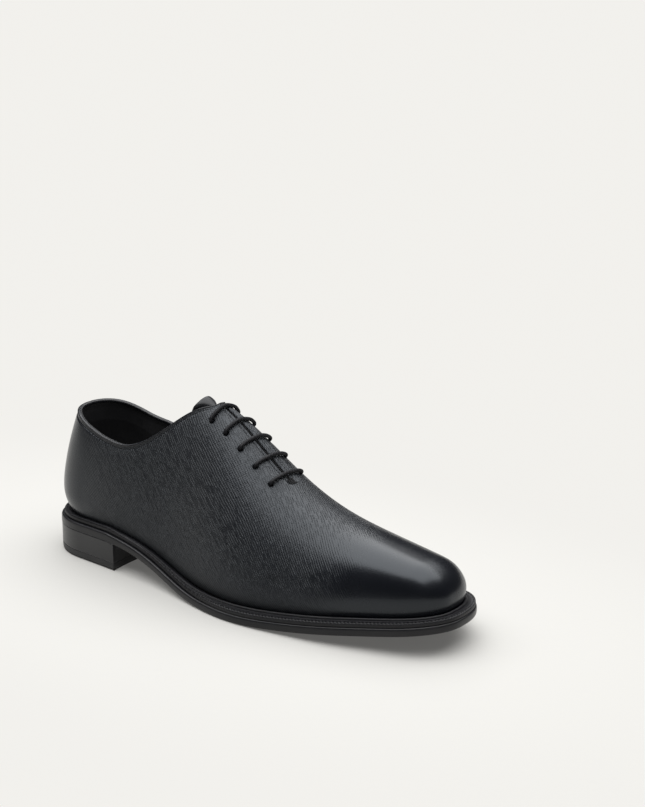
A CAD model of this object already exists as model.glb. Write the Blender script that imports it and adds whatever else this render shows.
from math import atan, cos, pi, radians, sin

import bmesh
import bpy
import numpy as np
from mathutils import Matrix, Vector


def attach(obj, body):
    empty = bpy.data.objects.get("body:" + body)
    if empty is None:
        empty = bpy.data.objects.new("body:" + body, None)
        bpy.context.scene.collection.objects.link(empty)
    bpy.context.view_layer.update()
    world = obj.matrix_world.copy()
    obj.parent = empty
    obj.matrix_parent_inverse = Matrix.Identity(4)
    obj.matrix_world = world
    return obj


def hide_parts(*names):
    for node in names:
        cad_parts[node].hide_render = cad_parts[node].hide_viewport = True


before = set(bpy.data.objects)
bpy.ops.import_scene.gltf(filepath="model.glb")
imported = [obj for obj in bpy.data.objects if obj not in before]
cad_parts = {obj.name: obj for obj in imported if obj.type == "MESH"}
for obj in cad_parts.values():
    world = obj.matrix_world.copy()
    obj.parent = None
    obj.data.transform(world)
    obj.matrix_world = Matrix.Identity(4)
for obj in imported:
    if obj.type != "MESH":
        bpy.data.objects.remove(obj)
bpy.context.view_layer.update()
scene = bpy.context.scene

# ---------------------------------------------------------------- the shoe's shape, in mm
# The same curves as the part: x from the back of the heel, outer side negative in y, z from the ground.
LENGTH = 302.0
HEEL_SEAT = 18.2
HEEL_BREAST_X = 67.5
TOP_PIECE = 5.0
SOLE = 5.0
WELT = 3.2
FEATHER = SOLE + WELT
THROAT_X = 184.0
FACING_TOP_X = 128.0
SLIT = 1.8
ROW_XS = [177.5 - 11.7 * row for row in range(5)]
HOLE_REACH = 13.1
LACE_RADIUS = 1.15
TOE_PIVOT = (255.0, 283.0)
HEEL_PIVOT = 36.0
SEAT_END_X = 60.0
TOE_STRAIGHT_X = 265.0
TOE_SPRING = 15.0
SOLE_CURVE = [(60, 18.2), (85, 14.3), (110, 7.6), (135, 1.6), (160, 0.0), (190, 0.5), (235, 5.3), (265, 9.4)]
UPPER_OUTER = [(4, 30), (35, 30.5), (64, 31.5), (100, 33), (140, 40), (175, 44.5), (205, 41), (235, 35.5),
               (265, 26.5), (297, 17)]
UPPER_INNER = [(4, 30), (35, 30.5), (64, 29.5), (100, 29), (140, 34.5), (175, 41.5), (215, 44), (240, 41.5),
               (265, 36), (297, 28)]
SOLE_OUTER = [(0, 32.5), (30, 33), (62, 34.6), (100, 37), (140, 45), (175, 49.4), (205, 46), (235, 40.5),
              (265, 31.5), (302, 20.5)]
SOLE_INNER = [(0, 32.5), (30, 33), (62, 32.5), (100, 32), (140, 38.5), (175, 46), (215, 49), (240, 46.5),
              (265, 41), (302, 32)]
RIDGE = [(0, 110), (60, 117), (100, 116), (133, 108.5), (155, 94), (178, 76.5), (205, 63), (235, 55.5),
         (265, 50), (297, 44)]
FULL_OUTER = [(0, 2.2), (70, 1.85), (130, 2.0), (180, 2.3), (225, 2.35), (262, 2.9), (297, 2.9)]
FULL_INNER = [(0, 2.2), (70, 1.85), (130, 2.0), (180, 2.3), (230, 2.0), (297, 2.5)]
FULL_UP = [(0, 3.2), (60, 2.6), (110, 1.5), (150, 1.6), (190, 1.65), (230, 1.8), (297, 2.3)]
UPPER_BACK_X = 3.2
UPPER_TIP_X = 297.0
BACK_CURVE = [(0, 1.0), (14, -1.5), (28, 0.5), (42, 4.5), (56, 9.5), (70, 14.5)]
UNDERCUT = 2.6
UNDERCUT_HEIGHT = 13.0
TOP_OUTER = [(8, 66.5), (20, 65.5), (40, 60), (62, 54.8), (80, 59), (96, 72), (110, 87), (120, 95.5),
             (128, 99.5)]
TOP_INNER = [(8, 66.5), (20, 65.5), (39, 59.2), (58, 56), (80, 59.5), (96, 72), (110, 86.5), (120, 95),
             (128, 99.5)]
OUTER = -1
INNER = 1


def natural_curve(points):
    """Cubic spline through the points, with no curvature at its two ends, over arrays."""
    x = np.array([p[0] for p in points], float)
    y = np.array([p[1] for p in points], float)
    step = np.diff(x)
    count = len(x)
    rows = np.eye(count)
    right = np.zeros(count)
    for i in range(1, count - 1):
        rows[i, i - 1 : i + 2] = step[i - 1], 2 * (step[i - 1] + step[i]), step[i]
        right[i] = 6 * ((y[i + 1] - y[i]) / step[i] - (y[i] - y[i - 1]) / step[i - 1])
    bend = np.linalg.solve(rows, right)

    def at(value):
        value = np.clip(value, x[0], x[-1])
        i = np.clip(np.searchsorted(x, value, side="right") - 1, 0, count - 2)
        a = (x[i + 1] - value) / step[i]
        b = 1 - a
        return a * y[i] + b * y[i + 1] + ((a**3 - a) * bend[i] + (b**3 - b) * bend[i + 1]) * step[i] ** 2 / 6

    return at


sole_middle = natural_curve(SOLE_CURVE)
upper_width = {OUTER: natural_curve(UPPER_OUTER), INNER: natural_curve(UPPER_INNER)}
sole_width = {OUTER: natural_curve(SOLE_OUTER), INNER: natural_curve(SOLE_INNER)}
topline = {OUTER: natural_curve(TOP_OUTER), INNER: natural_curve(TOP_INNER)}
ridge = natural_curve(RIDGE)
full_across = {OUTER: natural_curve(FULL_OUTER), INNER: natural_curve(FULL_INNER)}
full_up = natural_curve(FULL_UP)
back_curve = natural_curve(BACK_CURVE)
toe_rise = (TOE_SPRING - sole_middle(TOE_STRAIGHT_X)) / (LENGTH - TOE_STRAIGHT_X)


def underside(x):
    x = np.asarray(x, float)
    straight = sole_middle(TOE_STRAIGHT_X) + toe_rise * (x - TOE_STRAIGHT_X)
    return np.where(x < SEAT_END_X, HEEL_SEAT, np.where(x > TOE_STRAIGHT_X, straight, sole_middle(x)))


def feather(x):
    return underside(x) + FEATHER


def rounded_end(distance, reach, power):
    t = np.clip(distance / reach, 0, 1)
    return (1 - (1 - t) ** power) ** (1 / power)


def upper_half_width(x, height, side):
    height = np.maximum(height, 0)
    inset = UNDERCUT * np.maximum(1 - height / UNDERCUT_HEIGHT, 0) ** 2
    middle = LENGTH / 2
    spread = middle + (x - middle) * (1 + inset / middle)
    inner_x = spread - back_curve(height) * np.maximum(1 - x / 90, 0)
    width = upper_width[side](inner_x)
    width = width * rounded_end(inner_x - UPPER_BACK_X, 33, 2.2)
    width = width * rounded_end(UPPER_TIP_X - inner_x, 26, 2.45)
    crown = (ridge(x) - feather(x)) * rounded_end(UPPER_TIP_X - spread, 20, 2.2)
    share = np.clip(height / np.maximum(crown, 1e-6), 0, 1)
    width = width * (1 - inset / 42) * (1 - share ** full_up(x)) ** (1 / full_across[side](x))
    outside = (share >= 1) | (inner_x <= UPPER_BACK_X) | (inner_x >= UPPER_TIP_X)
    return np.where(outside, -1, width)


def sole_half_width(x, side):
    width = sole_width[side](x) * rounded_end(x, 34.7, 2.2) * rounded_end(LENGTH - x, 30.5, 2.4)
    return np.where((x <= 0) | (x >= LENGTH), -1, width)


def run_along(points):
    """How far along a line each of its points lies."""
    return np.concatenate([[0], np.cumsum(np.linalg.norm(np.diff(points, axis=0), axis=1))])


def sampled(at, run, points):
    """Places at distances along a line, between its points."""
    return np.stack([np.interp(at, run, column) for column in points.T], -1)


def closed(points):
    """A loop's points with the first one again at the end."""
    return np.concatenate([points, points[:1]])


def unrolled(along, around):
    """Coordinates in metres of a surface unrolled from its millimetres along and around."""
    return np.stack(np.broadcast_arrays(along, around), -1) / 1000


def unit(vectors):
    return vectors / np.linalg.norm(vectors, axis=-1, keepdims=True)


def reach(inside, shape, limit=170.0, steps=60):
    """How far each ray of an array goes before it leaves a shape."""
    low = np.zeros(shape)
    high = np.full(shape, limit)
    found = np.zeros(shape, bool)
    for i in range(1, steps + 1):
        distance = np.full(shape, limit * i / steps)
        within = inside(distance)
        newly = ~within & ~found
        high = np.where(newly, distance, high)
        found |= ~within
        low = np.where(found, low, distance)
    for _ in range(18):
        half = (low + high) / 2
        within = inside(half)
        low = np.where(within, half, low)
        high = np.where(within, high, half)
    return low


xs = np.linspace(1, LENGTH - 1, 600)
Y_MIDDLE = (sole_half_width(xs, INNER).max() - sole_half_width(xs, OUTER).max()) / 2


def place(points):
    """Shoe millimetres to the row frame's metres."""
    return (np.asarray(points, float) - np.array([LENGTH / 2, Y_MIDDLE, 0.0])) / 1000


# ---------------------------------------------------------------- the skin: rows that follow the upper
class Skin:
    """Rows of points on one side of the upper, each from the edge (or centre line) down to the welt."""

    SAMPLES = 130

    def __init__(self, side, toe_turns, xs, heel_turns, whole=False):
        level = atan(toe_rise)
        toe_turns = np.asarray(toe_turns, float)
        xs = np.asarray(xs, float)
        heel_turns = np.radians(np.asarray(heel_turns, float))
        lean = level + (pi / 2 - level) * toe_turns / 90
        zero_t, zero_x, zero_h = (np.zeros(len(a)) for a in (toe_turns, xs, heel_turns))
        start = np.concatenate([TOE_PIVOT[1] + (TOE_PIVOT[0] - TOE_PIVOT[1]) * toe_turns / 90, xs,
                                zero_h + HEEL_PIVOT])
        self.across = np.concatenate([
            np.stack([zero_t, zero_t + side, zero_t], 1),
            np.stack([zero_x, zero_x + side, zero_x], 1),
            np.stack([-np.sin(heel_turns), side * np.cos(heel_turns), zero_h], 1)])
        self.up = np.concatenate([
            np.stack([np.cos(lean), zero_t, np.sin(lean)], 1),
            np.stack([zero_x, zero_x, zero_x + 1], 1),
            np.stack([zero_h, zero_h, zero_h + 1], 1)])
        self.side = side
        self.x = start
        self.heel = np.arange(len(start)) >= len(toe_turns) + len(xs)
        self.front = (np.arange(len(start)) < len(toe_turns)) | (~self.heel & (start >= THROAT_X)) | whole
        self.origin = np.stack([start, np.zeros(len(start)), feather(start)], 1)
        self.trace()

    def rays(self, angles):
        """Where rays at these angles, one row of them per section, meet the outer face."""
        cosine, sine = np.cos(angles)[..., None], np.sin(angles)[..., None]
        direction = cosine * self.across[:, None] + sine * self.up[:, None]
        origin = self.origin[:, None]

        def inside(distance):
            point = origin + distance[..., None] * direction
            height = point[..., 2] - feather(point[..., 0])
            return np.abs(point[..., 1]) < upper_half_width(point[..., 0], height, self.side)

        return origin + reach(inside, angles.shape)[..., None] * direction

    def trace(self):
        count = len(self.x)
        whole_turn = pi / 2 - 1e-4
        low = np.zeros((count, 1))
        high = np.full((count, 1), whole_turn)
        for _ in range(20):
            half = (low + high) / 2
            x, y, z = np.moveaxis(self.rays(half), -1, 0)
            past = (np.abs(y) < SLIT / 2) & ~self.heel[:, None]
            past |= (x < FACING_TOP_X) & (z - feather(x) > topline[self.side](x))
            high = np.where(past, half, high)
            low = np.where(past, low, half)
        last = np.where(self.front, whole_turn, low[:, 0])
        above = self.rays(last[:, None] + (whole_turn - last)[:, None] * np.linspace(0, 1, 25))
        steps = np.diff(above, axis=1)
        lengths = np.linalg.norm(steps, axis=2)
        self.above = np.sum(lengths, axis=1)
        self.spread_above = np.sum(lengths - np.abs(steps[..., 2]), axis=1)
        angles = last[:, None] * (1 - np.linspace(0, 1, self.SAMPLES + 1))
        self.points = self.rays(angles)
        to_centre = self.front | (self.x > FACING_TOP_X)
        along = np.gradient(self.points, axis=1)
        inward = unit(np.cross(np.cross(self.across, self.up)[:, None], along))
        middle = self.SAMPLES // 2
        facing = np.sum(inward[:, middle] * (self.origin - self.points[:, middle]), axis=1)
        inward *= np.sign(facing)[:, None, None]
        self.points[to_centre, 0, 1] = np.where(self.front, 0.0, self.side * SLIT / 2)[to_centre]
        inward[to_centre, 0] = -self.up[to_centre]
        inward[:, -1] = -self.across
        self.inward = inward
        steps = np.linalg.norm(np.diff(self.points, axis=1), axis=2)
        self.run = np.concatenate([np.zeros((count, 1)), np.cumsum(steps, axis=1)], axis=1)
        sideways = steps - np.abs(np.diff(self.points[..., 2], axis=1))
        self.spread = np.concatenate([np.zeros((count, 1)), np.cumsum(sideways, axis=1)], axis=1)

    def at(self, runs, depth=0.0):
        """Points at runs down from the edge, one row of them per section, and depths in from the face."""
        depth = np.broadcast_to(depth, runs.shape)
        found = np.empty(runs.shape + (3,))
        for i in range(len(self.x)):
            way = unit(sampled(runs[i], self.run[i], self.inward[i]))
            found[i] = sampled(runs[i], self.run[i], self.points[i]) + depth[i][:, None] * way
        return found


# Rows: toe hoops, sections across the shoe (close together along the lacing), then the heel fan.
TOE_TURNS = np.linspace(0, 90, 46)[:-1]
SIDE_XS = np.concatenate([np.linspace(255, 190, 56)[:-1], np.linspace(190, 122, 118)[:-1],
                          np.linspace(122, 36, 92)[:-1]])
HEEL_TURNS = np.concatenate([np.linspace(0, 87.5, 36), [88.5, 89.1, 89.45, 89.7, 89.88, 90.0]])
# Columns: runs from the edge, close together over the facing and the topline, then shares of the rest.
EDGE_RUNS = np.concatenate([[0, 0.12, 0.3, 0.55, 0.85, 1.2, 1.6], np.arange(2.0, 19.6, 0.5)])
REST = np.linspace(0, 1, 62)[1:]


def column_runs(skin):
    """Runs of every row: fixed near the edge, then evenly down to the welt."""
    rows = []
    for length in skin.run[:, -1]:
        edge = EDGE_RUNS * min(1.0, 0.45 * length / EDGE_RUNS[-1])
        rows.append(np.concatenate([edge, edge[-1] + (length - edge[-1]) * REST]))
    return np.array(rows)


FOLD_X = 190.0             # where the inner side's leather folds away from the outer side's
RIDGE_FALL = 0.40          # how steeply that fold falls, in radians


class Side:
    """The rows and columns of one side, which every layer of the upper shares."""

    def __init__(self, side):
        self.side = side
        self.skin = Skin(side, TOE_TURNS, SIDE_XS, HEEL_TURNS)
        self.runs = column_runs(self.skin)
        self.grid = self.skin.at(self.runs)
        self.x = self.skin.x
        self.slit = ~self.skin.front & (self.x > FACING_TOP_X)
        self.top = ~self.skin.front & ~self.slit
        middle = self.grid[:, self.grid.shape[1] // 2]
        self.along = run_along(middle)

    def uv(self):
        """The leather laid flat: side view coordinates, with what turns over the ridge unrolled beyond it."""
        skin = self.skin
        spread = np.array([np.interp(*row) for row in zip(self.runs, skin.run, skin.spread)])
        last_side = np.argmax(skin.heel) - 1
        above = np.where(skin.heel, skin.spread_above[last_side], skin.spread_above)
        spread = spread + np.where(skin.front, 0.0, above)[:, None]
        x = np.where(skin.heel, self.x[last_side] - (self.along - self.along[last_side]), self.x)
        slope = np.minimum((ridge(x + 3) - ridge(x - 3)) / 6, 0)
        size = np.sqrt(1 + slope**2)
        flat_x = x[:, None] + spread * (slope / size)[:, None]
        flat_z = self.grid[..., 2] - spread / size[:, None]
        flat = np.stack([flat_x, flat_z], -1)
        if self.side == INNER:
            over = np.array([sin(RIDGE_FALL), cos(RIDGE_FALL)])
            away = (flat - np.array([FOLD_X, ridge(FOLD_X)])) @ over
            flat = flat - 2 * away[..., None] * over
        return flat / 1000


sides = {side: Side(side) for side in (OUTER, INNER)}


# ---------------------------------------------------------------- meshes
class Builder:
    """Collects grids of points into one mesh."""

    def __init__(self):
        self.points = []
        self.uvs = []
        self.faces = []
        self.count = 0

    def grid(self, points, uv=None, flip=False, close_columns=False):
        rows, columns = points.shape[:2]
        index = np.arange(rows * columns).reshape(rows, columns) + self.count
        if close_columns:
            index = np.concatenate([index, index[:, :1]], axis=1)
        corners = index[:-1, :-1], index[1:, :-1], index[1:, 1:], index[:-1, 1:]
        quads = np.stack(corners, -1).reshape(-1, 4)
        self.faces.append(quads[:, ::-1] if flip else quads)
        self.points.append(place(points).reshape(-1, 3))
        if uv is None:
            uv = np.zeros((rows, columns, 2))
        self.uvs.append(np.asarray(uv).reshape(-1, 2))
        self.count += rows * columns

    def mesh(self, name, weld=2e-6):
        points = np.concatenate(self.points)
        faces = np.concatenate(self.faces)
        uvs = np.concatenate(self.uvs)
        mesh = bpy.data.meshes.new(name)
        mesh.vertices.add(len(points))
        mesh.vertices.foreach_set("co", points.ravel())
        mesh.loops.add(faces.size)
        mesh.loops.foreach_set("vertex_index", faces.ravel())
        mesh.polygons.add(len(faces))
        mesh.polygons.foreach_set("loop_start", np.arange(0, faces.size, 4))
        mesh.polygons.foreach_set("use_smooth", np.ones(len(faces), bool))
        layer = mesh.uv_layers.new(name="UVMap")
        layer.data.foreach_set("uv", uvs[faces.ravel()].ravel())
        mesh.update(calc_edges=True)
        work = bmesh.new()
        work.from_mesh(mesh)
        bmesh.ops.remove_doubles(work, verts=work.verts, dist=weld)
        bmesh.ops.dissolve_degenerate(work, edges=work.edges, dist=weld / 4)
        bmesh.ops.recalc_face_normals(work, faces=work.faces)
        work.to_mesh(mesh)
        work.free()
        return mesh


def closed_shell(builder, outside, inside, uv=None):
    """A sheet with thickness: two grids with the same shape, joined round all their borders."""
    builder.grid(outside, uv)
    builder.grid(inside, uv, flip=True)
    for take in (lambda g: g[:1], lambda g: g[-1:]):
        builder.grid(np.concatenate([take(outside), take(inside)]))
    for take in (lambda g: g[:, :1], lambda g: g[:, -1:]):
        builder.grid(np.concatenate([take(outside), take(inside)], axis=1))


# ---------------------------------------------------------------- camera, light and stage
def aim(obj, eye, target):
    obj.location = Vector(eye)
    obj.rotation_euler = (Vector(target) - Vector(eye)).to_track_quat("-Z", "Y").to_euler()


camera = bpy.data.objects.new("camera", bpy.data.cameras.new("camera"))
scene.collection.objects.link(camera)
scene.camera = camera
camera.data.lens = 87.8
camera.data.sensor_width = 36.0
camera.data.sensor_fit = "HORIZONTAL"
camera.data.clip_start = 0.02
VIEW_TURN = radians(38.79)
VIEW_RISE = radians(15.46)
view_right = Vector((cos(VIEW_TURN), sin(VIEW_TURN), 0))
view_back = Vector((sin(VIEW_TURN) * cos(VIEW_RISE), -cos(VIEW_TURN) * cos(VIEW_RISE), sin(VIEW_RISE)))
view_up = view_back.cross(view_right)
look_at = Vector((-0.001, -Y_MIDDLE / 1000, 0.040)) + 0.04264 * view_right + 0.07149 * view_up
aim(camera, look_at + 0.9366 * view_back, look_at)


def area_light(name, eye, target, size, energy):
    light = bpy.data.lights.new(name, "AREA")
    light.shape = "RECTANGLE"
    light.size, light.size_y = size
    light.energy = energy
    obj = bpy.data.objects.new(name, light)
    scene.collection.objects.link(obj)
    aim(obj, eye, target)


area_light("softbox_top", (-0.10, 0.20, 1.15), (-0.10, 0.2001, 0.0), (2.2, 2.2), 62.0)
area_light("softbox_side", (-1.1, -0.75, 0.75), (0.0, 0.0, 0.05), (0.9, 0.7), 0.5)

world = bpy.data.worlds.new("studio")
scene.world = world
world.use_nodes = True
world.node_tree.nodes["Background"].inputs["Color"].default_value = (0.98, 0.99, 1.0, 1.0)
world.node_tree.nodes["Background"].inputs["Strength"].default_value = 0.06
scene.view_settings.view_transform = "Standard"


# ---------------------------------------------------------------- materials
GRAIN_TURN = 38.9         # degrees from level, across the lines, on the leather laid flat
GRAIN_PITCH = 0.00135
GRAIN_CROSS_PITCH = 0.00115
GRAIN_DEPTH = 0.00024
GRAIN_WANDER = 0.0011


class Paint:
    """A material being made: one principled shader, and helpers for the nodes that feed it."""

    def __init__(self, name, base, roughness, metallic=0.0, **sockets):
        self.material = bpy.data.materials.new(name)
        self.material.use_nodes = True
        self.tree = self.material.node_tree
        self.shader = self.tree.nodes["Principled BSDF"]
        self.shader.inputs["Base Color"].default_value = (*base, 1.0)
        self.shader.inputs["Roughness"].default_value = roughness
        self.shader.inputs["Metallic"].default_value = metallic
        for socket, value in sockets.items():
            self.shader.inputs[socket.replace("_", " ")].default_value = value
        coordinates = self.tree.nodes.new("ShaderNodeTexCoord")
        self.uv = coordinates.outputs["UV"]
        self.place = coordinates.outputs["Object"]

    def node(self, kind, settings=(), **inputs):
        node = self.tree.nodes.new("ShaderNode" + kind)
        for name, value in dict(settings).items():
            setattr(node, name, value)
        for name, value in inputs.items():
            by_number = name[0] == "i" and name[1:].isdigit()
            socket = node.inputs[int(name[1:]) if by_number else name]
            if isinstance(value, bpy.types.NodeSocket):
                self.tree.links.new(value, socket)
            else:
                socket.default_value = value
        return node

    def math(self, operation, a, b=0.0, c=0.0):
        return self.node("Math", {"operation": operation}, i0=a, i1=b, i2=c).outputs[0]

    def mapped(self, source, scale=(1, 1, 1), turn=0.0):
        return self.node("Mapping", Vector=source, Scale=scale, Rotation=(0, 0, turn)).outputs[0]

    def noise(self, source, scale, detail=2.0, roughness=0.5):
        node = self.node("TexNoise", Vector=source, Scale=scale, Detail=detail, Roughness=roughness)
        return node.outputs[0]

    def between(self, value, low, high, at_low, at_high):
        range_node = self.node("MapRange", {"interpolation_type": "SMOOTHSTEP"}, Value=value)
        for index, number in enumerate((low, high, at_low, at_high)):
            range_node.inputs[index + 1].default_value = number
        return range_node.outputs[0]

    def tint(self, factor, dark, light):
        mix = self.node("Mix", {"data_type": "RGBA"}, Factor=factor)
        mix.inputs[6].default_value = (*dark, 1.0)
        mix.inputs[7].default_value = (*light, 1.0)
        self.tree.links.new(mix.outputs[2], self.shader.inputs["Base Color"])

    def rough(self, factor, low, high):
        self.tree.links.new(self.between(factor, 0.0, 1.0, low, high), self.shader.inputs["Roughness"])

    def bump(self, height, distance, strength=1.0):
        node = self.node("Bump", Height=height, Strength=strength, Distance=distance)
        self.tree.links.new(node.outputs[0], self.shader.inputs["Normal"])

    def axis(self, source, name):
        return self.node("SeparateXYZ", Vector=source).outputs[name]


def embossed_leather(name):
    """Black leather with a fine pressed grain that runs down and forward, smooth at the toe and the heel."""
    paint = Paint(name, (0.006, 0.006, 0.007), 0.38, Specular_IOR_Level=0.43,
                  Specular_Tint=(0.88, 0.94, 1.0, 1.0))
    x = paint.axis(paint.place, "X")
    z = paint.axis(paint.place, "Z")
    behind_toe = paint.between(x, 0.055, 0.105, 1.0, 0.0)
    before_heel = paint.between(x, -0.125, -0.085, 0.0, 1.0)
    grain = paint.math("MULTIPLY", behind_toe, before_heel)
    wander = paint.node("TexNoise", Vector=paint.uv, Scale=150.0, Detail=2.0).outputs[1]
    warped = paint.node("VectorMath", {"operation": "MULTIPLY_ADD"}, i0=wander,
                        i1=(GRAIN_WANDER, GRAIN_WANDER, 0.0), i2=paint.uv)
    turned = paint.mapped(warped.outputs[0], turn=radians(-GRAIN_TURN))
    grooves = []
    for direction, pitch, stretch in (("X", GRAIN_PITCH, (1.0, 0.22, 1.0)),
                                      ("Y", GRAIN_CROSS_PITCH, (0.3, 1.0, 1.0))):
        wave = paint.node("TexWave", {"bands_direction": direction, "wave_profile": "SIN"}, Vector=turned,
                          Scale=2 * pi / 20 / pitch, Distortion=0.0).outputs[0]
        breaks = paint.noise(paint.mapped(turned, stretch), 700.0, 1.0)
        depth = paint.between(breaks, 0.34, 0.58, 0.2, 1.0)
        grooves.append(paint.math("MULTIPLY", paint.between(wave, 0.0, 0.62, 1.0, 0.0), depth))
    crossing = paint.math("MULTIPLY", grooves[1], paint.between(z, 0.045, 0.085, 0.1, 0.4))
    groove = paint.math("MULTIPLY", paint.math("MAXIMUM", grooves[0], crossing), grain)
    pores = paint.noise(paint.place, 2600.0, 3.0, 0.6)
    creases = paint.noise(paint.place, 700.0, 3.0, 0.55)
    height = paint.math("MULTIPLY_ADD", groove, -1.0, paint.math("MULTIPLY", creases, 0.09))
    height = paint.math("MULTIPLY_ADD", pores, 0.04, height)
    paint.bump(height, GRAIN_DEPTH)
    tone = paint.math("MULTIPLY_ADD", groove, -0.6, paint.noise(paint.place, 45.0, 3.0))
    paint.tint(tone, (0.0016, 0.0020, 0.0032), (0.0050, 0.0056, 0.0080))
    mottle = paint.noise(paint.place, 120.0, 3.0)
    spread = paint.math("MULTIPLY_ADD", mottle, 0.35, paint.math("MULTIPLY", grain, 0.65))
    paint.rough(spread, 0.25, 0.43)
    return paint.material


def plain_leather(name, dark, light, smooth, coarse, pore, depth=0.00006, specular=0.5):
    """Leather with fine pores and soft variations of tone and gloss."""
    paint = Paint(name, light, (smooth + coarse) / 2, Specular_IOR_Level=specular)
    pores = paint.noise(paint.place, pore, 4.0, 0.6)
    soft = paint.noise(paint.place, 180.0, 3.0)
    paint.bump(paint.math("MULTIPLY_ADD", pores, 0.6, soft), depth)
    paint.tint(soft, dark, light)
    paint.rough(paint.noise(paint.place, 90.0, 3.0), smooth, coarse)
    return paint.material


def brushed(name, dark, light, smooth, coarse, metallic=0.0, specular=0.5):
    """A finished edge or metal with fine streaks along it."""
    paint = Paint(name, light, (smooth + coarse) / 2, metallic, Specular_IOR_Level=specular)
    streaks = paint.noise(paint.mapped(paint.place, (1, 1, 12)), 260.0, 3.0)
    paint.bump(streaks, 0.00004)
    paint.tint(paint.noise(paint.place, 60.0, 3.0), dark, light)
    paint.rough(streaks, smooth, coarse)
    return paint.material


def twisted(name, dark, light, turns_per_m, roughness):
    """Thread or cord: fine slanting strands along its length."""
    paint = Paint(name, light, roughness, Specular_IOR_Level=0.2)
    wave = paint.node("TexWave", {"bands_direction": "DIAGONAL"}, Vector=paint.uv,
                      Scale=turns_per_m, Distortion=1.5, Detail=2.0).outputs[0]
    paint.bump(wave, 0.00008)
    paint.tint(wave, dark, light)
    paint.rough(paint.noise(paint.place, 900.0), roughness - 0.08, roughness + 0.08)
    return paint.material


BLUE_BLACK = (0.002, 0.0025, 0.004), (0.005, 0.0055, 0.008)
DEEP_BLACK = (0.003, 0.003, 0.004), (0.006, 0.006, 0.008)
FINE = 0.00006
METAL = 1.0
# Each slot: the function that makes it, its dark and light tones, then that function's own values.
SLOTS = {
    "edge_leather": (plain_leather, *BLUE_BLACK, 0.32, 0.44, 1800, FINE, 0.32),
    "tongue_leather": (plain_leather, *BLUE_BLACK, 0.38, 0.52, 1500, FINE, 0.36),
    "lining_leather": (plain_leather, (0.004, 0.004, 0.005), (0.009, 0.009, 0.010), 0.55, 0.7, 900),
    "lining_textile": (twisted, (0.006, 0.006, 0.007), (0.014, 0.014, 0.015), 900.0, 0.75),
    "stiffener_board": (plain_leather, (0.30, 0.23, 0.15), (0.42, 0.33, 0.22), 0.7, 0.85, 600),
    "stay_tape": (twisted, (0.02, 0.02, 0.022), (0.05, 0.05, 0.052), 700.0, 0.7),
    "eyelet_metal": (brushed, (0.02, 0.02, 0.022), (0.05, 0.05, 0.055), 0.3, 0.45, METAL),
    "waxed_cord": (twisted, (0.002, 0.002, 0.003), (0.005, 0.005, 0.007), 260.0, 0.62),
    "tip_plastic": (brushed, (0.01, 0.01, 0.012), (0.02, 0.02, 0.022), 0.15, 0.25),
    "thread": (twisted, (0.002, 0.002, 0.003), (0.005, 0.005, 0.006), 500.0, 0.6),
    "insole_fibre": (plain_leather, (0.33, 0.24, 0.15), (0.45, 0.34, 0.22), 0.7, 0.85, 500),
    "pad_foam": (plain_leather, (0.10, 0.10, 0.11), (0.16, 0.16, 0.17), 0.8, 0.95, 1200, 0.0002),
    "shank_steel": (brushed, (0.35, 0.35, 0.36), (0.5, 0.5, 0.51), 0.25, 0.4, METAL),
    "cork": (plain_leather, (0.25, 0.14, 0.07), (0.45, 0.28, 0.15), 0.75, 0.9, 500, 0.0003),
    "welt_leather": (plain_leather, *DEEP_BLACK, 0.40, 0.54, 1400, FINE, 0.32),
    "sole_edge": (brushed, *DEEP_BLACK, 0.30, 0.42, 0.0, 0.34),
    "heel_stack": (brushed, (0.005, 0.005, 0.006), (0.009, 0.009, 0.011), 0.28, 0.40),
    "top_piece_rubber": (plain_leather, (0.005, 0.005, 0.006), (0.011, 0.011, 0.012), 0.4, 0.6, 900),
    "nail_steel": (brushed, (0.3, 0.3, 0.3), (0.45, 0.45, 0.45), 0.3, 0.45, METAL),
}
black = {"upper_leather": embossed_leather("upper_leather")}
for slot, (make, *values) in SLOTS.items():
    black[slot] = make(slot, *values)


def floor_material():
    """Pale matt floor that turns into an evenly lit backdrop away from the shoe."""
    paint = Paint("floor", (0.435, 0.430, 0.413), 0.9, Specular_IOR_Level=0.1)
    paint.bump(paint.noise(paint.place, 300.0), 0.00005)
    round_shoe = paint.mapped(paint.place, (0.45, 1.0, 1.0))
    distance = paint.node("VectorMath", {"operation": "LENGTH"}, i0=round_shoe).outputs["Value"]
    far = paint.between(distance, 0.05, 0.24, 0.12, 1.0)
    glow = paint.node("Emission", Color=(0.888, 0.876, 0.844, 1.0), Strength=1.0).outputs[0]
    mix = paint.node("MixShader", i0=far, i1=paint.shader.outputs[0], i2=glow)
    paint.tree.links.new(mix.outputs[0], paint.tree.nodes["Material Output"].inputs["Surface"])
    return paint.material


# ---------------------------------------------------------------- mesh helpers
def finished(builder, name, body, slot, *nodes):
    """Turn a builder's grids into a piece of the shoe, in place of the CAD nodes named."""
    mesh = builder.mesh(name)
    mesh.materials.append(black[slot])
    obj = bpy.data.objects.new(name, mesh)
    scene.collection.objects.link(obj)
    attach(obj, body)
    if nodes:
        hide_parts(*nodes)


def to_rim(ring, centre):
    """Rings that close the end of a tube, from its last ring to a point."""
    return np.stack([centre + share * (ring - centre) for share in (0.92, 0.6, 0.25, 0.0)])


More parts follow.
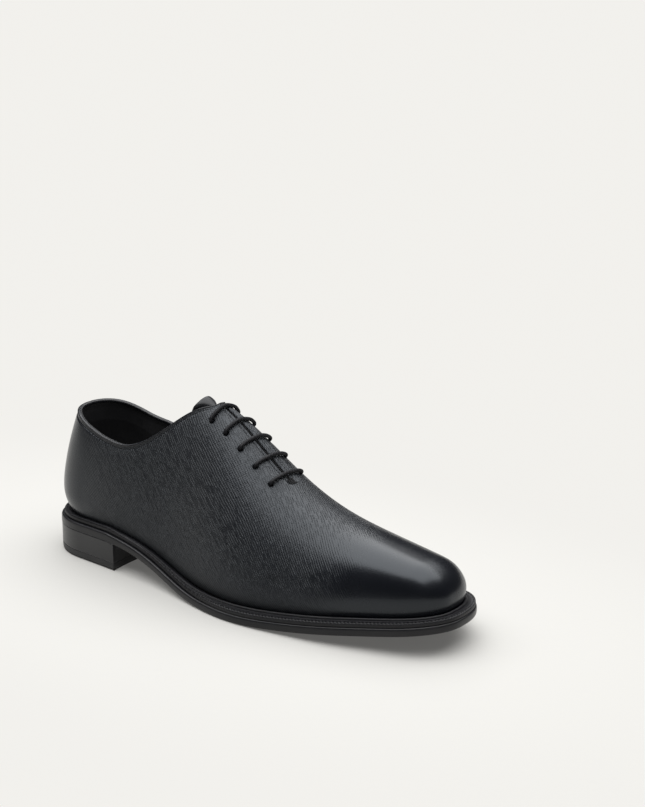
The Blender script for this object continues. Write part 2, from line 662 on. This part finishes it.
def tube(builder, centres, radius, columns, relief):
    """A round tube along dense centre points, with relief on its face and closed, rounded ends."""
    tangent = unit(np.gradient(centres, axis=0))
    side = np.empty_like(centres)
    across = np.cross(tangent[0], (0.3, 0.2, 1.0))
    for i, direction in enumerate(tangent):
        across = unit(across - direction * (across @ direction))
        side[i] = across
    over = np.cross(tangent, side)
    turn = np.linspace(0, 2 * pi, columns, endpoint=False)
    run = run_along(centres)
    size = radius + relief(run[:, None], turn[None])
    around = np.cos(turn)[None, :, None] * side[:, None] + np.sin(turn)[None, :, None] * over[:, None]
    ring = size[..., None] * around
    points = centres[:, None] + ring
    caps = [(0.0, 1.0), (0.5, 0.86), (0.86, 0.5), (1.0, 0.02)]
    first = [centres[0] - tangent[0] * radius * out + ring[0] * share for out, share in caps[:0:-1]]
    last = [centres[-1] + tangent[-1] * radius * out + ring[-1] * share for out, share in caps[1:]]
    points = np.concatenate([first, points, last])
    run = np.concatenate([np.full(3, run[0]), run, np.full(3, run[-1])])
    builder.grid(points, unrolled(run[:, None], turn[None] * radius), close_columns=True)


def evenly(points, spacing):
    """A line's points again, evenly spaced."""
    points = np.asarray(points, float)
    run = run_along(points)
    count = max(int(run[-1] / spacing), 2)
    at = np.linspace(0, run[-1], count + 1)
    return sampled(at, run, points)


def stitches(builder, line, pitch, length, radius, flat=0.8):
    """A row of sewn stitches on a line: each a short rounded strand that dips at its two ends."""
    dense = evenly(line, 0.1)
    step = np.linalg.norm(np.diff(dense, axis=0), axis=1).mean()
    count = int((len(dense) - 1) * step / pitch)
    ends = np.array([0.0, 0.07, 0.25, 0.5, 0.75, 0.93, 1.0])
    sizes = np.array([0.05, 0.6, 0.95, 1.0, 0.95, 0.6, 0.05])
    turn = np.linspace(0, 2 * pi, 6, endpoint=False)
    for number in range(count):
        start = (number * pitch + (pitch - length) / 2) / step
        index = np.clip(start + ends * length / step, 0, len(dense) - 1)
        centre = sampled(index, np.arange(len(dense)), dense)
        along = unit(centre[-1] - centre[0])
        side = unit(np.cross(along, (0.2, 0.3, 1.0)))
        over = np.cross(along, side)
        ring = np.cos(turn)[None, :, None] * side + flat * np.sin(turn)[None, :, None] * over
        points = centre[:, None] + radius * sizes[:, None, None] * ring
        builder.grid(points, unrolled((ends * length)[:, None], turn[None] * radius), close_columns=True)


def smooth_step(value, low, high):
    t = np.clip((value - low) / (high - low), 0, 1)
    return t * t * (3 - 2 * t)


# ---------------------------------------------------------------- the upper
UPPER = 1.3
LINING = 0.9
LINING_DEPTH = 2.5
FACING_LINING_DEPTH = 2.1
EDGE_LINING_DEPTH = 1.45
HOLE_RADIUS = 1.6
HOLE_MARGIN = 0.28        # a quad is cut away when it ends this near the hole
FACING_END = 40.0         # no holes further down than this
FAR = 99.0
EDGE_ROW = 3.0            # stitching below the topline
FACING_ROWS = {OUTER: (2.6,), INNER: (2.6, 4.6)}   # rows beside the slit
THROAT_ROW = int(np.argmax(sides[OUTER].slit))
FACING_TOP_ROW = int(np.argmax(sides[OUTER].top))


def on_surface(side, x, run):
    """A point of the outer face at a place along the shoe and a run down from the edge."""
    skin = sides[side].skin
    standing = np.arange(len(TOE_TURNS), len(TOE_TURNS) + len(SIDE_XS))
    index = np.interp(-x, -SIDE_XS, standing)     # SIDE_XS falls, and np.interp wants it rising
    low = min(int(index), standing[-1] - 1)
    near, far = (sampled(run, skin.run[i], skin.points[i]) for i in (low, low + 1))
    return near + (index - low) * (far - near)


def surface_frame(x, reach_over, depth):
    """A point at a reach over the surface from the centre (inner side positive), and the way inward."""
    side = INNER if reach_over > 0 else OUTER
    run = abs(reach_over)
    along = on_surface(side, x + 1, run) - on_surface(side, x - 1, run)
    down = on_surface(side, x, run + 1) - on_surface(side, x, max(run - 1, 0))
    inward = unit(np.cross(along, down) * side)
    if inward[2] > 0:
        inward = -inward
    return on_surface(side, x, run) + depth * inward, inward


def edge_line(side, run, rows, depth=0.0):
    """Points along the shoe at one run from the edge, over some of the rows."""
    whole = sides[side]
    points = whole.skin.at(np.tile([run], (len(whole.x), 1)), depth)[:, 0]
    return points[rows]


def upper_relief(side):
    """How far the outer face dips: rolled facing edges, sewn rows, beside the binding, back seam."""
    whole = sides[side]
    runs = whole.runs
    slit = whole.slit[:, None]
    top = whole.top[:, None]
    dip = np.where(slit, 1.2 * np.clip(1 - runs / 1.7, 0, 1) ** 2, 0.0)
    for row in FACING_ROWS[side]:
        dip = dip + np.where(slit, 0.85 * np.exp(-((runs - row) / 0.42) ** 2), 0.0)
    dip = dip + np.where(top, 0.5 * np.exp(-((runs - EDGE_ROW) / 0.5) ** 2), 0.0)
    dip = dip + np.where(top, 0.25 * np.exp(-(runs / 1.9) ** 4), 0.0)
    seam = np.where(whole.skin.heel[:, None], np.abs(whole.grid[..., 1]), FAR)
    return dip + 0.4 * np.exp(-(seam / 0.45) ** 2)


def punched(side, outside, inside):
    """The lace holes: which quads go, with the points round them moved onto a true circle."""
    whole = sides[side]
    gone = np.zeros((outside.shape[0] - 1, outside.shape[1] - 1), bool)
    for x in ROW_XS:
        centre, inward = surface_frame(x, side * HOLE_REACH, 0.0)
        offset = outside - centre
        flat = offset - (offset @ inward)[..., None] * inward
        away = np.linalg.norm(flat, axis=2)
        away[whole.runs > FACING_END] = FAR
        corners = away[:-1, :-1], away[1:, :-1], away[:-1, 1:], away[1:, 1:]
        here = np.max(corners, axis=0) < HOLE_RADIUS + HOLE_MARGIN
        gone |= here
        rows, columns = here.shape
        touched = np.zeros(away.shape, bool)
        for down, along in ((0, 0), (0, 1), (1, 0), (1, 1)):
            touched[down : down + rows, along : along + columns] |= here
        rim = touched & (away > 0.3)
        sink = 0.30 * np.exp(-np.clip(away - HOLE_RADIUS, 0, None) / 0.7)
        scale = np.where(rim, HOLE_RADIUS / np.maximum(away, 1e-6), 1.0)[..., None]
        for grid, extra in ((outside, sink), (inside, np.zeros(away.shape))):
            offset = grid - centre
            depth = (offset @ inward)[..., None] * inward
            sideways = offset - depth
            moved = centre + depth + sideways * scale
            grid[...] = moved + extra[..., None] * inward
    return gone


def shell(name, grids, slot, node):
    """One closed piece from the outer and inner grids of both sides, with any holes cut through."""
    builder = Builder()
    for outside, inside, uv, gone in grids.values():
        rows, columns = outside.shape[:2]
        keep = np.ones((rows - 1, columns - 1), bool) if gone is None else ~gone
        start = builder.count
        for grid, flip in ((outside, False), (inside, True)):
            builder.grid(grid, uv, flip)
            builder.faces[-1] = builder.faces[-1][keep.ravel()]
        index = np.arange(rows * columns).reshape(rows, columns) + start
        below = rows * columns
        at_centre = np.abs(outside[..., 1]) < 1e-6
        framed = np.pad(keep, 1)
        borders = (framed[1:, 1:-1] != framed[:-1, 1:-1], 0, 1), (framed[1:-1, 1:] != framed[1:-1, :-1], 1, 0)
        walls = []
        for border, down, along in borders:
            for i, j in np.argwhere(border):
                if at_centre[i, j] and at_centre[i + down, j + along]:
                    continue
                a, b = index[i, j], index[i + down, j + along]
                walls.append((a, b, b + below, a + below))
        builder.faces.append(np.array(walls))
    finished(builder, name, "shoe", slot, node)


def make_upper():
    grids = {}
    for side, whole in sides.items():
        dip = upper_relief(side)
        outside = whole.skin.at(whole.runs, dip)
        inside = whole.skin.at(whole.runs, UPPER)
        gone = punched(side, outside, inside)
        grids[side] = (outside, inside, whole.uv(), gone)
    shell("wholecut_upper_skin", grids, "upper_leather", "wholecut_upper")


def lining_depths(whole):
    slit = whole.slit[:, None]
    at_edge = np.where(slit, FACING_LINING_DEPTH, EDGE_LINING_DEPTH)
    share = np.clip(np.where(slit, (whole.runs - 22) / 10, (whole.runs - 5) / 9), 0, 1)
    depth = at_edge + (LINING_DEPTH - at_edge) * share
    return np.where(whole.skin.front[:, None], LINING_DEPTH, depth)


def make_lining(name, rows, slot, node, cut):
    """One of the two linings: a stretch of rows, with the lace holes cut in it or not."""
    grids = {}
    for side, whole in sides.items():
        depth = lining_depths(whole)
        outside = whole.skin.at(whole.runs, depth)
        inside = whole.skin.at(whole.runs, depth + LINING)
        gone = punched(side, outside, inside) if cut else None
        keep = slice(rows[0], rows[1])
        quads = None if gone is None else gone[rows[0] : rows[1] - 1]
        grids[side] = (outside[keep], inside[keep], whole.uv()[keep], quads)
    shell(name, grids, slot, node)


def rolled_edge():
    """The binding round the topline: a soft bead that wraps the upper and its lining."""
    rings = []
    turn = np.linspace(0, 2 * pi, 20, endpoint=False)
    for side in (OUTER, INNER):
        whole = sides[side]
        run = 0.85 - 1.05 * np.cos(turn) * np.where(np.cos(turn) > 0, 0.88, 1.25)
        depth = 1.15 - 1.45 * np.sin(turn)
        points = whole.skin.at(np.tile(np.maximum(run, 0.0), (len(whole.x), 1)), depth)
        points[..., 2] += np.maximum(-run, 0.0)
        chosen = points[FACING_TOP_ROW:]
        rings.append(chosen if side == OUTER else chosen[-2::-1])
    rings = np.concatenate(rings)
    middle = rings.mean(axis=1, keepdims=True)
    first = to_rim(rings[0], middle[0])[::-1]
    last = to_rim(rings[-1], middle[-1])
    rings = np.concatenate([first, rings, last])
    run = run_along(rings.mean(axis=1))
    builder = Builder()
    builder.grid(rings, unrolled(run[:, None], turn[None] * 1.4), close_columns=True)
    finished(builder, "topline_roll", "shoe", "edge_leather", "topline_binding")


def make_sewing():
    """Thread along the topline and beside the slit."""
    builder = Builder()
    for side, whole in sides.items():
        top_rows = np.arange(FACING_TOP_ROW, len(whole.x))
        stitches(builder, edge_line(side, EDGE_ROW, top_rows, 0.36), 2.3, 1.75, 0.24)
        slit_rows = np.arange(THROAT_ROW + 4, FACING_TOP_ROW)
        for run in FACING_ROWS[side]:
            stitches(builder, edge_line(side, run, slit_rows, 0.62), 2.1, 1.6, 0.2)
    finished(builder, "edge_stitching", "shoe", "thread")


TAB_RUNS = 1.7, 17.0
TAB_LIFT = -0.95
TAB_SEAT = -0.05
TAB_ROWS = 15
TAB_BEVEL = 0.9


def make_tab():
    """The small tab at the top of the back seam, thinned towards its edges, with its sewn border."""
    leather = Builder()
    thread = Builder()
    low, high = TAB_RUNS
    share = np.linspace(0, 1, 14)
    near = np.clip(1 - np.minimum(share, 1 - share) * (high - low) / TAB_BEVEL, 0, 1)
    height = TAB_LIFT + (TAB_SEAT - TAB_LIFT) * (1 - np.sqrt(1 - near**2))
    for side, whole in sides.items():
        runs = np.tile(low + (high - low) * share, (len(whole.x), 1))
        outside, inside = (whole.skin.at(runs, depth)[-TAB_ROWS:] for depth in (height, TAB_SEAT))
        closed_shell(leather, outside, inside)
        rows = np.arange(len(whole.x) - TAB_ROWS + 1, len(whole.x))
        stitches(thread, edge_line(side, 15.6, rows, TAB_LIFT), 2.0, 1.5, 0.2)
        column = whole.skin.at(np.tile(np.linspace(3, 15.6, 20), (len(whole.x), 1)), TAB_LIFT)
        stitches(thread, column[1 - TAB_ROWS], 2.0, 1.5, 0.2)
    finished(leather, "heel_tab_leather", "shoe", "edge_leather", "heel_tab")
    finished(thread, "heel_tab_stitching", "shoe", "thread")


def make_bar_tack():
    """Close bars of thread that hold the bottom of the slit."""
    builder = Builder()
    for offset in np.linspace(-1.6, 1.6, 8):
        x = THROAT_X - 1.2 + offset
        line = [surface_frame(x, over, -0.2)[0] for over in (-2.9, -1.5, -0.05, 1.5, 2.9)]
        stitches(builder, line, 5.6, 5.5, 0.28)
    finished(builder, "bar_tack_thread", "shoe", "thread", "bar_tack")


# ---------------------------------------------------------------- the tongue
TONGUE = 1.4
TONGUE_LINING = 0.7
TONGUE_GAP = 0.15
TONGUE_TOP_X = 107.0
TONGUE_TOP_DEPTH = 4.4
TONGUE_BASE_X = 196.0
TONGUE_DEPTH = 8.1
TONGUE_ARCH = 9.0         # how much further forward the top edge lies at the centre
TONGUE_LIFT = 3.6
TONGUE_ROUNDING = 0.7
TONGUE_BASE_DEPTH = LINING_DEPTH + LINING + 0.85


def tongue_grid(top_x, low, high):
    """Both faces of one layer of the tongue: its top edge is arched and its edges are rounded over."""
    xs = np.concatenate([np.linspace(TONGUE_TOP_X, 130, 47), np.linspace(130, TONGUE_BASE_X, 40)[1:]])
    share = np.sin(np.linspace(-1, 1, 61) * pi / 2)
    width = 29 - 8 * (xs - TONGUE_TOP_X) / (TONGUE_BASE_X - TONGUE_TOP_X)
    width = width * np.minimum((xs - TONGUE_TOP_X + 9) / 20, 1) ** 0.5
    base = np.clip((xs - THROAT_X) / (TONGUE_BASE_X - 4 - THROAT_X), 0, 1)
    base = TONGUE_DEPTH + (TONGUE_BASE_DEPTH - TONGUE_DEPTH) * base
    base = base - (TONGUE_DEPTH - TONGUE_TOP_DEPTH) * (1 - smooth_step(xs, 115, 127))
    skins = {side: Skin(side, [], xs, [], whole=True) for side in (OUTER, INNER)}
    runs = width[:, None] * np.abs(share)[None]
    open_reach = Skin(OUTER, [], xs, []).above
    lift = TONGUE_LIFT * smooth_step(open_reach[:, None] - runs, 1.0, 4.5)
    faces = []
    for depth in (low, high):
        both = {side: skins[side].at(runs, base[:, None] + depth - lift) for side in skins}
        faces.append(np.where((share < 0)[None, :, None], both[OUTER], both[INNER]))
    top = top_x + TONGUE_ARCH * (1 - np.abs(share) ** 1.6)
    steps = np.concatenate([np.array([0, 0.25, 0.6, 1.1, 1.8, 2.6, 3.6]) / 90, np.linspace(0.06, 1, 60)])
    new_x = top[None] + steps[:, None] * (TONGUE_BASE_X - top)[None]
    faces = [np.stack([np.stack([np.interp(new_x[:, c], xs, face[:, c, k]) for c in range(len(share))], 1)
                       for k in range(3)], -1) for face in faces]
    new_width = np.interp(new_x, xs, width)
    near = np.minimum(new_width * (1 - np.abs(share)), new_x - top)
    near = np.clip(1 - near / TONGUE_ROUNDING, 0, 1)
    bite = (1 - np.sqrt(1 - near**2))[..., None] / 2
    outside = faces[0] + bite * (faces[1] - faces[0])
    inside = faces[1] - bite * (faces[1] - faces[0])
    uv = np.stack([new_x, share * new_width], -1) / 1000
    return outside, inside, uv


def make_tongue():
    """The tongue's leather, its lining, and a row of stitches near the top edge."""
    under = TONGUE + TONGUE_GAP
    for name, top_x, low, high, slot, node in (
            ("tongue_leather_piece", TONGUE_TOP_X, 0.0, TONGUE, "tongue_leather", "tongue"),
            ("tongue_lining_piece", TONGUE_TOP_X + 1, under, under + TONGUE_LINING,
             "lining_leather", "tongue_lining")):
        outside, inside, uv = tongue_grid(top_x, low, high)
        builder = Builder()
        closed_shell(builder, outside, inside, uv)
        finished(builder, name, "tongue", slot, node)
    outside = tongue_grid(TONGUE_TOP_X, -0.02, TONGUE)[0]
    builder = Builder()
    stitches(builder, outside[9, 6:-6], 2.2, 1.6, 0.2)
    finished(builder, "tongue_stitching", "tongue", "thread")


# ---------------------------------------------------------------- the lace
LACE_DEPTH = 4.9
LACE_HEIGHT = -1.4
BAR_HEIGHT = -1.7


def straight_bar(row, start):
    """Out of one hole, over both facings and into the other, as (x, reach, depth)."""
    x = ROW_XS[row]
    bow = 0.45
    steps = [(1, LACE_DEPTH, 0), (1, 0.8, 0), (0.995, LACE_HEIGHT, 0), (0.84, BAR_HEIGHT + 0.05, 0),
             (0.5, BAR_HEIGHT, bow), (0.02, BAR_HEIGHT - 0.1, bow), (-0.5, BAR_HEIGHT, bow),
             (-0.84, BAR_HEIGHT + 0.05, 0), (-0.995, LACE_HEIGHT, 0), (-1, 0.8, 0), (-1, LACE_DEPTH, 0)]
    return [(x + bend, start * HOLE_REACH * share, depth) for share, depth, bend in steps]


def beside(row, side, move):
    return (ROW_XS[row], side * (HOLE_REACH + move), LACE_DEPTH)


def tucked_end(row, side):
    """From a hole inwards: the loose end lies folded once between the facing and the tongue."""
    x = ROW_XS[row]
    fold_x = 181.0
    near, far = 20.5, 26.5
    out = [(x + 5, side * near, LACE_DEPTH)]
    while out[-1][0] + 22 < fold_x:
        out.append((out[-1][0] + 15, side * (near + 0.4 * (len(out) % 2)), LACE_DEPTH))
    out.append((fold_x, side * near, LACE_DEPTH))
    out.append((fold_x, side * far, LACE_DEPTH))
    back = [(fold_x - 14 * step, side * (far + 0.4 * (step % 2)), LACE_DEPTH) for step in (1, 2)]
    back.append((fold_x - 40, side * far, LACE_DEPTH + 1.2))
    return out + back


def lace_route():
    route = tucked_end(3, OUTER)[::-1]
    route += straight_bar(3, OUTER)
    route.append(beside(2, INNER, -3.7))
    route += straight_bar(1, INNER)
    route += straight_bar(0, OUTER)
    route.append(beside(1, INNER, 3.7))
    route += straight_bar(2, INNER)
    route.append(beside(3, OUTER, -3.7))
    route += straight_bar(4, OUTER)
    route += tucked_end(4, INNER)
    return [surface_frame(*step)[0] for step in route]


def smooth_line(points):
    """Points read from the NURBS spline whose control points are the route's."""
    curve = bpy.data.curves.new("route", "CURVE")
    curve.dimensions = "3D"
    curve.resolution_u = 24
    spline = curve.splines.new("NURBS")
    spline.points.add(len(points) - 1)
    for point, place_mm in zip(spline.points, points):
        point.co = (*place_mm, 1.0)
    spline.order_u = 3
    spline.use_endpoint_u = True
    obj = bpy.data.objects.new("route", curve)
    scene.collection.objects.link(obj)
    mesh = bpy.data.meshes.new_from_object(obj)
    found = np.array([v.co for v in mesh.vertices])
    bpy.data.objects.remove(obj)
    return found


def braid(run, turn):
    """Eight strands that cross each other round the lace."""
    pitch = 4.6
    one = np.abs(np.sin(4 * turn + 2 * pi * run / pitch * 2))
    other = np.abs(np.sin(4 * turn - 2 * pi * run / pitch * 2))
    return 0.13 * np.maximum(one, other) - 0.12


def make_lace():
    centre = evenly(smooth_line(lace_route()), 0.28)
    builder = Builder()
    tube(builder, centre, LACE_RADIUS, 20, braid)
    finished(builder, "laced_cord", "shoe", "waxed_cord", "lace")


# ---------------------------------------------------------------- the bottom
RAY_FRONT_X = 262
RAY_BACK_X = 40
RAY_COUNTS = 60, 221, 70      # round the toe, along the side, round the heel
TOE_RAYS, SIDE_RAYS, HEEL_RAYS = RAY_COUNTS
RAY_STARTS = np.concatenate([np.full(TOE_RAYS, RAY_FRONT_X), np.linspace(RAY_FRONT_X, RAY_BACK_X, SIDE_RAYS),
                             np.full(HEEL_RAYS, RAY_BACK_X)])
RAY_TURNS = np.radians(np.concatenate([np.linspace(0, 90, TOE_RAYS + 1)[:-1], np.full(SIDE_RAYS, 90.0),
                                       np.linspace(90, 180, HEEL_RAYS + 1)[1:]]))


def outward_from(loop):
    """Directions straight out from a plan loop that runs counter-clockwise."""
    along = np.roll(loop, -1, axis=0) - np.roll(loop, 1, axis=0)
    return unit(np.stack([along[:, 1], -along[:, 0]], 1))


def outline(half_width):
    """Dense loop round a plan shape, counter-clockwise from the toe, and its outward directions."""
    halves = []
    for side in (INNER, OUTER):
        def inside(distance):
            return distance * np.sin(RAY_TURNS) < half_width(RAY_STARTS + distance * np.cos(RAY_TURNS), side)

        distance = reach(inside, RAY_STARTS.shape, 80)
        points = np.stack([RAY_STARTS + distance * np.cos(RAY_TURNS), side * distance * np.sin(RAY_TURNS)], 1)
        halves.append(points if side == INNER else points[-2:0:-1])
    loop = np.concatenate(halves)
    return loop, outward_from(loop)


def resampled(loops, spacing):
    """The same loops again with columns evenly spaced along the first one."""
    run = run_along(closed(loops[0][0]))
    at = np.linspace(0, run[-1], int(run[-1] / spacing), endpoint=False)
    return [tuple(sampled(at, run, closed(values)) for values in loop) for loop in loops], at


def feather_half_width(x, side):
    return upper_half_width(x, np.zeros_like(x), side)


sole_loop = outline(sole_half_width)
feather_loop = outline(feather_half_width)


def ring(loop, offset, height, level=underside):
    """One ring at an offset from a plan loop, at a height above the underside of the sole."""
    places, outward = loop
    offset = np.broadcast_to(offset, len(places))
    flat = places + offset[:, None] * outward
    return np.concatenate([flat, (level(flat[:, 0]) + height)[:, None]], 1)


def toward_middle(points, shares, level, height):
    """Rings that close a face in towards the centre line, at one height above a level."""
    middle_x = np.clip(points[:, 0], 42, 258)
    found = []
    for share in shares:
        x = middle_x + share * (points[:, 0] - middle_x)
        found.append(np.stack([x, points[:, 1] * share, level(x) + height], 1))
    return found


def turned(rings, at, name, slot, node):
    """A closed piece from rings that run round it, with places along its outline as one coordinate."""
    rings = np.stack(rings)
    builder = Builder()
    builder.grid(rings, unrolled(at[None], np.arange(len(rings))[:, None] * 1.0), close_columns=True)
    finished(builder, name, "shoe", slot, node)


def make_outsole():
    (loop,), at = resampled([sole_loop], 1.0)
    shares = (0.97, 0.90, 0.8, 0.65, 0.5, 0.35, 0.2, 0.08, 0.0)
    profile = [(-7.2, 0.0), (-6.6, 0.0), (-6.3, 0.35), (-5.9, 0.35), (-5.6, 0.0), (-2.4, 0.0), (-1.1, 0.05),
               (-0.55, 0.22), (-0.2, 0.6), (-0.04, 1.2), (0.0, 2.3), (-0.02, 3.4), (-0.12, 4.1), (-0.32, 4.6),
               (-0.75, 4.95), (-1.6, 5.0)]
    over_heel = 1 - smooth_step(loop[0][:, 0], 64, 76)
    rings = []
    for offset, height in profile:
        rounding = -1.2 < offset and height < 2       # this goes over the heel, where the wall is flush
        rings.append(ring(loop, offset * (1 - over_heel * rounding), height))
    bottom = toward_middle(rings[0], shares, underside, 0.0)[::-1]
    top = toward_middle(rings[-1], shares, underside, SOLE)
    turned(bottom + rings + top, at, "outsole_leather", "sole_edge", "outsole")


def make_welt():
    """Strip with a bead against the upper, and small wheeled ridges round the forepart."""
    (edge, foot), at = resampled([sole_loop, feather_loop], 0.36)
    forepart = smooth_step(edge[0][:, 0], 96, 124)
    wheel = 0.5 - 0.5 * np.cos(2 * pi * at / 2.15)
    notch = 0.55 * forepart * wheel**2
    top = FEATHER - 0.2
    back = 1.3 * (1 - smooth_step(edge[0][:, 0], 120, 180))
    bead = 0.15 + 0.85 * smooth_step(edge[0][:, 0], 130, 190)
    steps = [
        (foot, -6.0, SOLE + 0.05), (edge, -1.3 - back, SOLE + 0.05), (edge, -0.95 - back, SOLE + 0.15),
        (edge, -0.75 - back, SOLE + 0.5), (edge, -0.7 - back, SOLE + 1.1),
        (edge, -0.72 - back - 0.3 * notch, top - 0.9),
        (edge, -0.85 - back - 0.4 * notch, top - 0.45 - 0.5 * notch), (edge, -1.15 - back, top - 0.1 - notch),
        (edge, -1.6 - back, top - notch), (edge, -2.2 - back, top - notch),
        (edge, -2.8 - back, top - 0.8 * notch), (edge, -3.1 - 0.6 * back, top - 0.12),
        (foot, 3.0, top - 0.12), (foot, 2.65, top - 0.3),
        (foot, 2.45, top - 0.1), (foot, 2.4, top + 0.5 * bead), (foot, 2.15, top + bead),
        (foot, 1.75, top + 1.27 * bead), (foot, 1.35, top + 1.3 * bead), (foot, 0.95, top + 1.15 * bead),
        (foot, 0.6, top + 0.7 * bead), (foot, 0.45, top + 0.1 * bead), (foot, -0.3, top), (foot, -6.0, top),
    ]
    rings = [ring(*step) for step in steps]
    turned(rings + rings[:1], at, "welt_strip", "welt_leather", "welt")
    line = ring(edge, -2.0, top - 0.02)
    front = line[line[:, 0] > 92]
    order = np.argmax(np.linalg.norm(np.diff(front, axis=0), axis=1)) + 1
    builder = Builder()
    stitches(builder, np.concatenate([front[order:], front[:order]]), 4.3, 3.3, 0.36, flat=0.7)
    finished(builder, "welt_thread", "shoe", "thread", "welt_stitching")


HOLLOW = 3.0
HOLLOW_RADIUS = 190.0
HEEL_INSET = 0.08
CORNER_STEP = 0.3


def heel_loop():
    """Plan of the heel: round the back, and across the slightly hollow breast."""
    places, outward = sole_loop
    moved = places - HEEL_INSET * outward
    front = HEEL_BREAST_X - HOLLOW + HOLLOW_RADIUS
    behind = moved[moved[:, 0] < front - np.sqrt(HOLLOW_RADIUS**2 - moved[:, 1] ** 2) - 0.2]
    ys = np.linspace(behind[-1, 1], behind[0, 1], 60)
    across = np.stack([front - np.sqrt(HOLLOW_RADIUS**2 - ys**2), ys], 1)
    loop = np.concatenate([behind, across[1:-1]])
    run = run_along(closed(loop))
    evenly_spaced = np.linspace(0, run[-1], int(run[-1] / 0.9), endpoint=False)
    corner = run[len(behind) - 1]
    by_corners = [corner - CORNER_STEP, corner, corner + CORNER_STEP, CORNER_STEP, run[-1] - CORNER_STEP]
    at = np.sort(np.concatenate([evenly_spaced, by_corners]))
    return sampled(at, run, closed(loop)), at


def heel_rings(profile, low, level_top):
    """Rings from (inset, share of the way up, height added) steps, bottom to top."""
    loop, at = heel_loop()
    outward = outward_from(loop)
    rings = []
    for inset, share, extra in profile:
        flat = loop - inset * outward
        height = low + share * (level_top(flat[:, 0]) - low) + extra
        rings.append(np.concatenate([flat, height[:, None]], 1))
    middle = np.array([38.0, 0.0])

    def closing(points):
        return [np.concatenate([middle + share * (points[:, :2] - middle), points[:, 2:]], 1)
                for share in (0.9, 0.7, 0.5, 0.3, 0.1, 0.0)]

    return closing(rings[0])[::-1] + rings + closing(rings[-1]), at


def make_heel():
    """The stack of lifts and the top piece under it, with a thin groove near the ground."""
    lifts = [(0.5, 0, 0.0), (0.1, 0, 0.02), (0.0, 0, 0.12), (0.0, 0, 0.8), (0.0, 0.35, 0), (0.0, 0.65, 0),
             (0.0, 1, -0.7), (0.0, 1, 0)]
    piece = [(1.3, 0, 0.0), (0.7, 0, 0.08), (0.3, 0, 0.4), (0.2, 0, 0.95), (0.32, 0, 1.12), (0.32, 0, 1.22),
             (0.08, 0, 1.4), (0.0, 0, 2.2), (0.0, 0, 3.4), (0.0, 1, -0.5), (0.0, 1, -0.05), (0.4, 1, 0.0)]
    rings, at = heel_rings(lifts, TOP_PIECE, lambda x: underside(x) - 0.05)
    turned(rings, at, "heel_lifts", "heel_stack", "heel_block")
    rings, at = heel_rings(piece, 0.0, lambda x: TOP_PIECE - 0.02 + 0 * x)
    turned(rings, at, "heel_top_lift", "top_piece_rubber", "heel_top_piece")


SOCK = 0.8
PAD_RISE = 2.1


def make_sock():
    """Leather sock liner over the insole and the heel pad, softly dished, with a rolled rim."""
    (loop,), at = resampled([feather_loop], 1.2)
    wall = LINING_DEPTH + LINING

    def level(x):
        return feather(x) + 4.75 - PAD_RISE * smooth_step(x, 74, 96)

    profile = [(3.0, 0.0), (0.9, 0.0), (0.55, 0.2), (0.5, 0.45), (0.65, 0.7), (1.1, SOCK), (2.2, SOCK)]
    rings = [ring(loop, -wall - inset, height, level) for inset, height in profile]
    shares = (0.92, 0.8, 0.65, 0.5, 0.35, 0.2, 0.08, 0.0)
    bottom = toward_middle(rings[0], shares, level, 0.0)[::-1]
    top = toward_middle(rings[-1], shares, level, SOCK)
    turned(bottom + rings + top, at, "sock_liner_leather", "lining_leather", "sock_liner")


# ---------------------------------------------------------------- assembly
make_upper()
make_lining("vamp_lining_cloth", (0, THROAT_ROW), "lining_textile", "vamp_lining", False)
make_lining("quarter_lining_leather", (THROAT_ROW - 1, len(sides[OUTER].x)), "lining_leather",
            "quarter_lining", True)
rolled_edge()
make_sewing()
make_tab()
make_bar_tack()
make_tongue()
make_lace()
make_outsole()
make_welt()
make_heel()
make_sock()

carried = {
    "lace_tips": "tip_plastic", "toe_puff": "stiffener_board", "heel_counter": "stiffener_board",
    "facing_stay_outer": "stay_tape", "facing_stay_inner": "stay_tape", "blind_eyelets_outer": "eyelet_metal",
    "blind_eyelets_inner": "eyelet_metal", "insole_board": "insole_fibre", "heel_pad": "pad_foam",
    "shank": "shank_steel", "forefoot_filler": "cork", "heel_nails": "nail_steel",
}
for node, slot in carried.items():
    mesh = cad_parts[node].data
    mesh.materials.clear()
    mesh.materials.append(black[slot])

floor_mesh = bpy.data.meshes.new("floor")
floor_mesh.from_pydata([(-40, -40, 0), (40, -40, 0), (40, 40, 0), (-40, 40, 0)], [], [(0, 1, 2, 3)])
floor = bpy.data.objects.new("floor", floor_mesh)
scene.collection.objects.link(floor)
floor_mesh.materials.append(floor_material())
